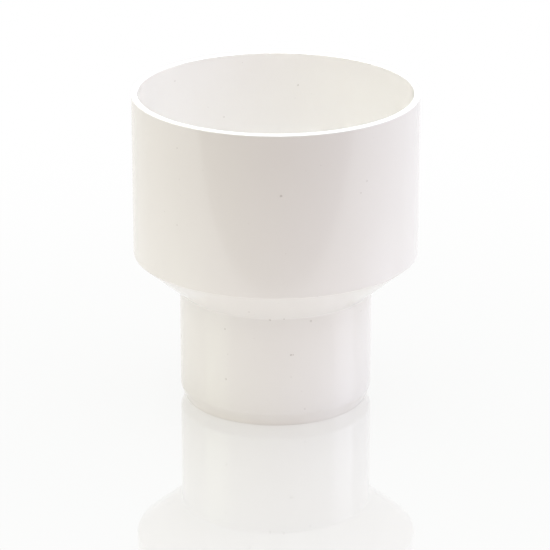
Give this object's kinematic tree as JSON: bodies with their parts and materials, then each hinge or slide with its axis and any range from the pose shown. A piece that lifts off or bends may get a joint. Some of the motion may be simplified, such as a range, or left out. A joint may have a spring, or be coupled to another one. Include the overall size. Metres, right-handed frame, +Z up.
{
  "type": "duct reducer",
  "caption": "Moulded white plastic reducer that joins a wide round duct to a narrow one: an open collar above a short cone and a plain spigot with a lead-in taper.",
  "frame": {"origin": "centre of the foot, on the plane that the spigot stands on", "axes": "+Z up along the duct's axis, from the spigot to the open large end; the part is round, so X and Y have no direction of their own"},
  "size_m": [0.148, 0.148, 0.165],
  "materials": {
    "white_plastic": "semi-gloss, warm white with fine dark specks"
  },
  "bodies": {
    "root": {"reducer_body": "white_plastic"}
  },
  "joints": []
}
